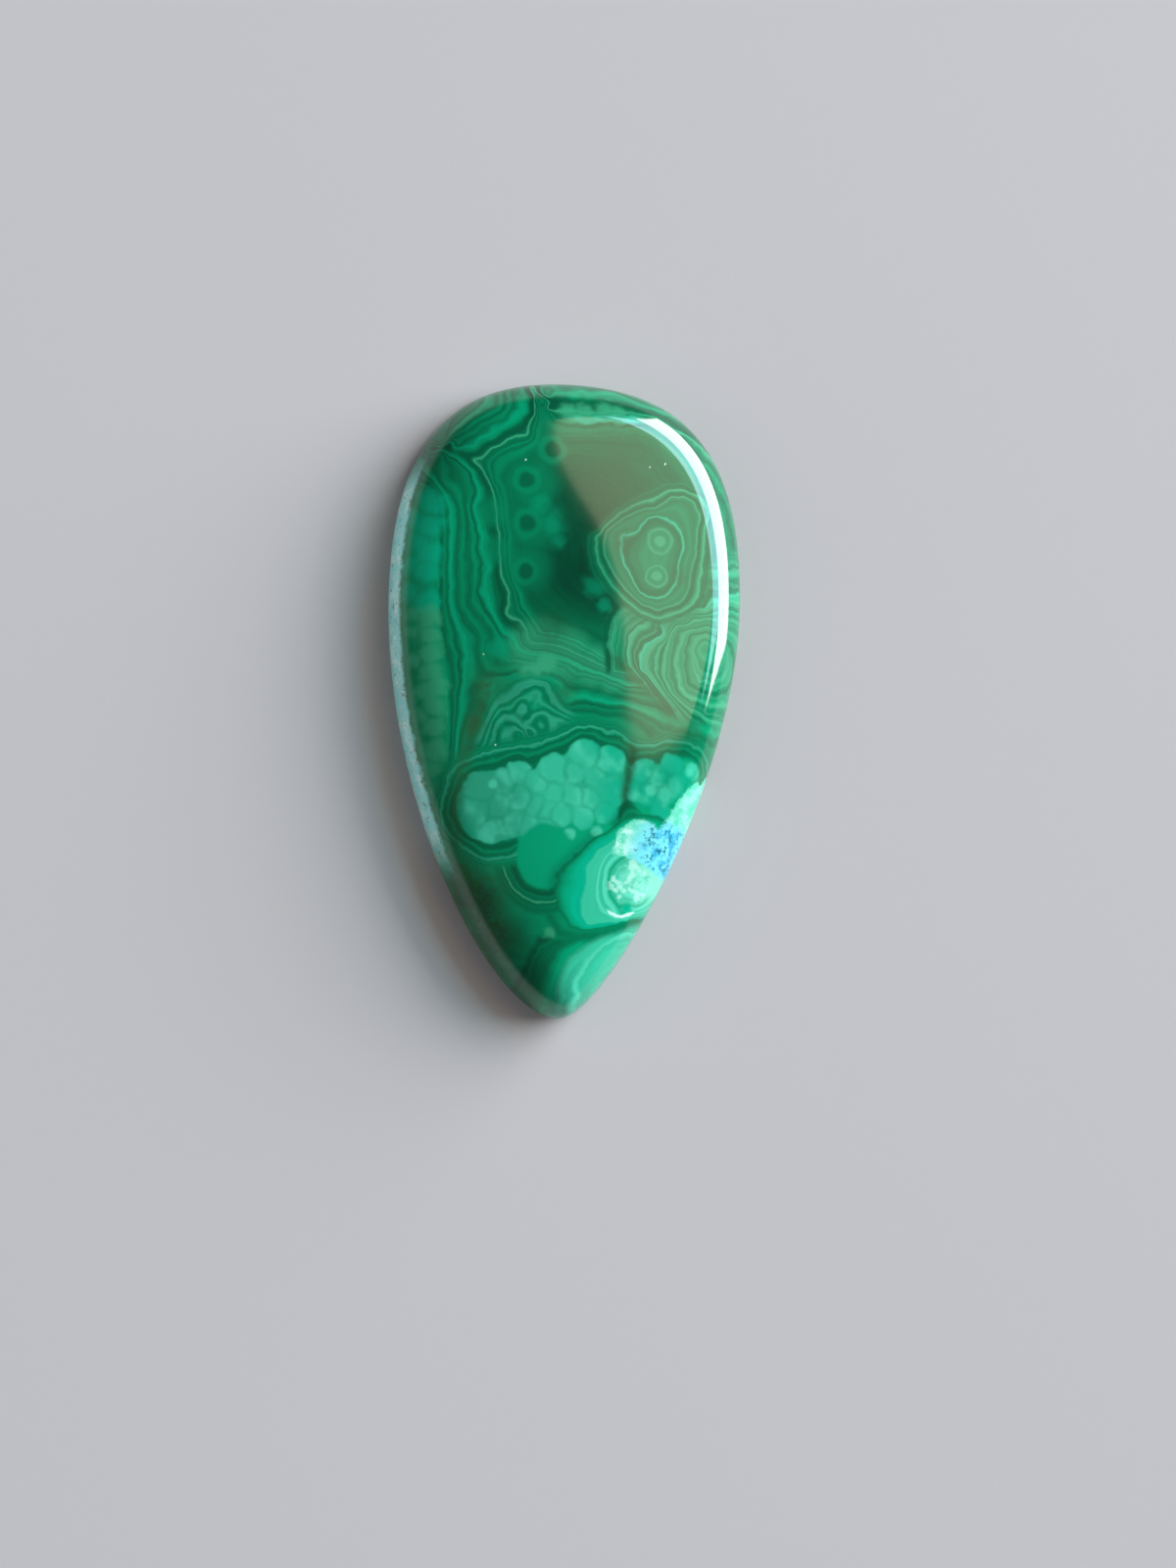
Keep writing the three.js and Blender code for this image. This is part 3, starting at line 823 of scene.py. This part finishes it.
def nested_lobes(paint, under, plain, wobble):
    level = paint.plus(paint.field("lobes"), wobble)
    colour = striped(paint, paint.bands(level, LOBE_BANDS), level, plain, 6.5, 0.42)
    colour = paint.lay(colour, "line", ripples(paint, level, 0.42), 0.45)
    reach = paint.plus(paint.field("lobes_reach"), wobble)
    return paint.mix(under, colour, paint.step(reach, -0.45, 0.25))


def low_domes(paint, under, plain, place, wobble):
    level = paint.plus(paint.field("domes"), paint.times(wobble, 1.2))
    colour = striped(paint, paint.bands(level, DOME_BANDS), level, plain, 4.0, 0.3)
    near = paint.step(paint.away(place, *DOMES_MIDDLE), 4.6, 3.6)
    cover = paint.times(paint.step(level, 4.1, 3.3), near)
    return paint.mix(under, colour, paint.times(cover, 0.75))


def kernel_clusters(paint, under, plain, place, wobble):
    """Pale kernels with darker seams where two of them meet, and bands round each cluster."""
    shell = paint.plus(paint.group(place, KERNELS + RIGHT_KERNELS + MASSES, 1.3), wobble)
    halo = striped(paint, paint.bands(paint.plus(shell, 0.35), HALO_BANDS), shell, plain)
    colour = paint.mix(under, halo, paint.step(shell, 2.0, 1.3))
    ground = paint.group(place, GROUND, 0.8)
    colour = paint.lay(colour, "bright", paint.step(ground, 0.5, 0.0))
    moved = uneven_place(paint, plain, place, 0.6)
    first, second = paint.nearest_two(moved, KERNELS + RIGHT_KERNELS)
    outline = paint.maths("SMOOTH_MIN", first, paint.group(place, MASSES, 0.4), 0.3)
    seam = paint.step(paint.minus(second, first), 0.6, 0.0)
    jade_share = paint.step(paint.away(place, *SAGE_KERNELS), 2.5, 6.0)
    kernel = paint.mix(linear("sage"), linear("jade"), jade_share)
    kernel = paint.lay(kernel, "teal", paint.step(paint.away(place, *LEFT_KERNELS), 4.6, 7.0), 0.85)
    kernel = paint.lay(kernel, "mint", paint.step(paint.noise(place, 0.5, 2.0), 0.45, 0.7), 0.5)
    patchy = paint.step(paint.noise(place, 0.55, 2.0), 0.3, 0.65)
    kernel = paint.lay(kernel, "mid", paint.times(seam, patchy), 0.4)
    kernel = paint.lay(kernel, "bright", paint.step(first, -0.5, 0.3), 0.35)
    colour = paint.mix(colour, kernel, paint.step(outline, 0.14, -0.12))
    return paint.lay(colour, "mint", paint.step(paint.nearest_share(place, BRIGHT_DOTS), 1.0, 0.4), 0.6)


def disc_level(paint, place, wobble):
    """The distance to the edge of the upright oval disc, negative inside it."""
    offset = paint.vector("SUBTRACT", place, DISC_MIDDLE)
    stretched = paint.vector("MULTIPLY", offset, DISC_STRETCH)
    level = paint.minus(paint.vector("LENGTH", stretched, output="Value"), DISC_RADIUS)
    return paint.plus(level, paint.times(wobble, 0.5))


def disc_shells(paint, under, plain, level):
    colour = striped(paint, paint.bands(level, DISC_BANDS), level, plain, strength=0.2)
    return paint.mix(under, colour, paint.step(level, 2.3, 1.6))


def drop_lobe(paint, under, plain, place, wobble):
    """Pale bands round an eye, with a white line curling under it."""
    level = paint.plus(paint.field("drop"), paint.times(wobble, 0.6))
    colour = striped(paint, paint.bands(level, DROP_BANDS), level, plain, strength=0.12)
    colour = paint.lay(colour, "pale", paint.step(paint.away(place, *DROP_HEART), 2.6, 1.0), 0.45)
    colour = paint.lay(colour, "pale", paint.step(paint.away(place, *DROP_RIM), 2.2, 1.2), 0.7)
    mottle = paint.noise(plain, 1.1, 2.0, 0.6)
    inside = paint.step(paint.away(place, *DROP_EYE), 2.2, 1.5)
    colour = paint.lay(colour, "white", paint.times(paint.step(mottle, 0.5, 0.64), inside), 0.4)
    colour = paint.lay(colour, "sage", paint.times(paint.step(mottle, 0.48, 0.36), inside), 0.35)
    colour = paint.lay(colour, "teal", paint.step(paint.away(place, *DROP_SPOT), 0.7, 0.3))
    curl = paint.maths("ABSOLUTE", paint.minus(paint.away(place, *CURL_MIDDLE), CURL_RADIUS))
    below = paint.step(paint.away(place, *CURL_REACH), 2.3, 1.9)
    colour = paint.lay(colour, "white", paint.times(paint.step(curl, 0.17, 0.04), below), 0.75)
    return paint.mix(under, colour, paint.step(level, 4.3, 4.12))


def foot_lobe(paint, under, plain, wobble):
    level = paint.plus(paint.field("foot"), wobble)
    colour = striped(paint, paint.bands(level, FOOT_BANDS), level, plain, strength=0.25)
    reach = paint.plus(paint.field("foot_reach"), wobble)
    return paint.mix(under, colour, paint.step(reach, -0.15, 0.45))


def crusts(paint, under, plain, place):
    """The blue and white patch on the right, the mint strip over it and the pale speckled rind along the left
    edge, which is partly a painted reflection of pale light on the polished wall. The second socket is how
    rough the face is there."""
    cloud = paint.noise(plain, 1.0, 5.0, 0.7)
    speck = paint.noise(plain, 2.0, 4.0, 0.75)
    ragged = paint.maths("MULTIPLY_ADD", cloud, -1.6, paint.plus(paint.field("crust_reach"), 0.75))
    patch = paint.step(ragged, -0.12, 0.12)
    white = paint.mix(linear("mint"), linear("white"), paint.step(cloud, 0.4, 0.75))
    bluer = paint.step(paint.away(place, *BLUE_MIDDLE), 3.5, 2.0)
    bluest = paint.step(paint.away(place, *BLUEST_MIDDLE), 3.2, 1.8)
    blue = paint.lay(white, "cyan", bluer, 0.85)
    blue = paint.lay(blue, "sky", paint.times(paint.step(cloud, 0.46, 0.56), bluest))
    blue = paint.lay(blue, "ink", paint.times(paint.step(speck, 0.54, 0.62), bluer), 0.85)
    strip = paint.mix(linear("mint"), linear("pale"), paint.step(cloud, 0.4, 0.6))
    strip = paint.mix(blue, strip, paint.step(paint.away(place, *STRIP_MIDDLE), 3.4, 2.9))
    colour = paint.mix(under, strip, patch)
    parts = paint.tree.nodes.new("ShaderNodeSeparateXYZ")
    paint.put(plain, parts.inputs[0])
    x, y, z = parts.outputs
    # The pale rind low on the left wall, partly a painted reflection of pale light on the polished wall.
    low = paint.step(paint.plus(z, cloud), 3.75, 3.3)
    left = paint.times(paint.step(x, -6.0, -8.0), paint.step(y, 19.0, 15.0))
    rind_and_reflection = paint.times(paint.times(low, left), paint.step(y, -15.0, -10.0))
    skin = paint.mix(linear("pale_rind_and_reflection"), linear("white"), paint.step(cloud, 0.45, 0.65))
    skin = paint.lay(skin, "ink", paint.step(speck, 0.56, 0.66), 0.7)
    return paint.mix(colour, skin, rind_and_reflection), paint.maths("MAXIMUM", patch, rind_and_reflection)


def polished_malachite():
    """Green shells, eyes, lobes and kernels under a high polish."""
    material = bpy.data.materials.new("polished malachite")
    material.use_nodes = True
    paint = Paint(material.node_tree)
    plain, place = pattern_place(paint)
    wobble = paint.maths("MULTIPLY_ADD", paint.noise(plain, 0.8, 2.0, 0.5), 0.5, -0.25)
    colour = flank_shells(paint, plain, place, wobble)
    colour = eye_spots(paint, colour, place, CENTRAL_EYES, CENTRAL_EYE_BANDS, 1.15, 0.7, 0.55)
    colour = low_domes(paint, colour, plain, place, wobble)
    colour = nested_lobes(paint, colour, plain, wobble)
    colour = twin_eye(paint, colour, plain, place, wobble)
    disc = disc_level(paint, place, wobble)
    colour = disc_shells(paint, colour, plain, disc)
    colour = kernel_clusters(paint, colour, plain, place, wobble)
    colour = paint.lay(colour, "bright", paint.step(disc, 0.22, -0.28))
    colour = drop_lobe(paint, colour, plain, place, wobble)
    colour = foot_lobe(paint, colour, plain, wobble)
    # Olive brown over the green: partly the stone's own tone, and at the lower left a painted reflection of a
    # brown surface.
    broken = paint.maths("MULTIPLY_ADD", paint.step(paint.noise(plain, 2.2, 4.0, 0.7), 0.35, 0.6), 0.5, 0.5)
    brown_and_reflection = paint.times(paint.field("brown_and_reflection"), paint.times(broken, 0.85))
    colour = paint.mix(colour, linear("olive"), brown_and_reflection)
    colour, rough = crusts(paint, colour, plain, place)
    colour = paint.dim(colour, paint.plus(paint.field("lighter"), 1.0))
    colour = paint.lay(colour, "white", paint.step(paint.nearest_share(place, WHITE_SPECKS), 1.0, 0.4), 0.8)
    shader = material.node_tree.nodes["Principled BSDF"]
    paint.put(colour, shader.inputs["Base Color"])
    paint.put(paint.maths("MULTIPLY_ADD", rough, 0.2, 0.07), shader.inputs["Roughness"])
    shader.inputs["IOR"].default_value = 1.7
    return material


def new_object(name, data):
    made = bpy.data.objects.new(name, data)
    bpy.context.scene.collection.objects.link(made)
    return made


# The studio, in metres.
FLOOR_REACH = 1.5
LIGHT_DISTANCE = 3.0


def studio_floor():
    """A wide plain floor under the stone."""
    corners = [(FLOOR_REACH * x, FLOOR_REACH * y, 0) for x, y in ((-1, -1), (1, -1), (1, 1), (-1, 1))]
    mesh = bpy.data.meshes.new("floor")
    mesh.from_pydata(corners, [], [(0, 1, 2, 3)])
    material = bpy.data.materials.new("pale floor")
    material.use_nodes = True
    shader = material.node_tree.nodes["Principled BSDF"]
    shader.inputs["Base Color"].default_value = (0.435, 0.4, 0.413, 1)
    shader.inputs["Roughness"].default_value = 0.8
    mesh.materials.append(material)
    floor = new_object("floor", mesh)


def soft_light(name, azimuth, elevation, size, radiance, colour, turn=0.0):
    """A rectangular light at a bearing over the stone, facing it and turned about its own axis. Its
    power is the radiance times pi times its area."""
    lamp = bpy.data.lights.new(name, "AREA")
    lamp.shape = "RECTANGLE"
    lamp.size, lamp.size_y = size
    lamp.energy = radiance * math.pi * size[0] * size[1]
    lamp.color = colour
    light = new_object(name, lamp)
    a, e = math.radians(azimuth), math.radians(elevation)
    bearing = Vector((math.cos(e) * math.cos(a), math.cos(e) * math.sin(a), math.sin(e)))
    place = bearing * LIGHT_DISTANCE
    facing = place.to_track_quat("Z", "Y").to_matrix().to_4x4()
    light.matrix_world = Matrix.Translation(place) @ facing @ Matrix.Rotation(math.radians(turn), 4, "Z")
    return light


def studio_world():
    """A dark room with a pale band along the horizon: the glow fades out with the height of the look."""
    world = bpy.data.worlds.new("studio")
    bpy.context.scene.world = world
    world.use_nodes = True
    tree = world.node_tree
    background = tree.nodes["Background"]
    paint = Paint(tree)
    look = tree.nodes.new("ShaderNodeTexCoord").outputs["Generated"]
    parts = tree.nodes.new("ShaderNodeSeparateXYZ")
    paint.put(look, parts.inputs[0])
    background.inputs["Color"].default_value = (0.86, 0.93, 1.0, 1)
    glow = paint.step(parts.outputs[2], 0.2, 0.0)
    paint.put(paint.maths("MULTIPLY_ADD", glow, 0.34, 0.04), background.inputs["Strength"])


def studio_lights():
    soft_light("window", 30, 21, (3.3, 1.7), 12.5, (0.97, 0.98, 1.0))
    soft_light("sky over the window", 34, 44, (2.6, 0.85), 7.0, (0.5, 0.84, 1.0))
    veil = soft_light("warm ceiling", 37, 59, (2.1, 1.5), 1.4, (0.95, 0.85, 0.55), -9.0)
    veil.data.shape = "ELLIPSE"
    for name, azimuth, elevation, radiance in (("top fill", 180, 80, 0.2), ("left fill", 190, 30, 1.0)):
        fill = soft_light(name, azimuth, elevation, (3.5, 3.0), radiance, (1.0, 1.0, 1.0))
        fill.visible_glossy = False


# The photograph's view: its frame in pixels, the stone's scale in it and where its middle lies.
FRAME_PIXELS = (1200, 1600)
PIXELS_PER_MM = 12.97
STONE_MIDDLE = (573.4, 714.9)
VIEW_TILT = 12.0  # from straight above
VIEW_BEARING = 197.0  # the side that the camera leans to, from +X
VIEW_ROLL = 1.9
LENS = 85.0
SENSOR = 36.0


def photo_camera():
    """The camera stands at a tilt from straight above, turned so that the stone's long axis leans as in
    the photograph, and aims beside the stone by as much as its middle is off the frame's."""
    camera = bpy.data.cameras.new("photo view")
    camera.lens = LENS
    camera.sensor_fit = "VERTICAL"
    camera.sensor_height = SENSOR
    camera.clip_start = 0.01
    tilt, bearing = math.radians(VIEW_TILT), math.radians(VIEW_BEARING)
    outward = Vector((math.sin(tilt) * math.cos(bearing), math.sin(tilt) * math.sin(bearing), math.cos(tilt)))
    roll = math.radians(VIEW_ROLL)
    up_hint = Vector((-math.sin(roll), math.cos(roll), 0))
    right = up_hint.cross(outward).normalized()
    up = outward.cross(right)
    height = FRAME_PIXELS[1] / PIXELS_PER_MM * MM
    distance = LENS / SENSOR * height
    off_x = (FRAME_PIXELS[0] / 2 - STONE_MIDDLE[0]) / PIXELS_PER_MM * MM
    off_y = (STONE_MIDDLE[1] - FRAME_PIXELS[1] / 2) / PIXELS_PER_MM * MM
    aim = right * off_x + up * off_y + Vector((0, 0, GIRDLE_HEIGHT * MM))
    holder = new_object("photo view", camera)
    turn = Matrix((right, up, outward)).transposed().to_4x4()
    holder.matrix_world = Matrix.Translation(aim + outward * distance) @ turn
    bpy.context.scene.camera = holder


def make_stone():
    mesh = stone_mesh()
    mesh.materials.append(polished_malachite())
    stone = new_object("polished_stone", mesh)
    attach(stone, "root")
    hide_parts(STONE)


bpy.context.scene.view_settings.view_transform = "Standard"
make_stone()
studio_floor()
studio_world()
studio_lights()
photo_camera()
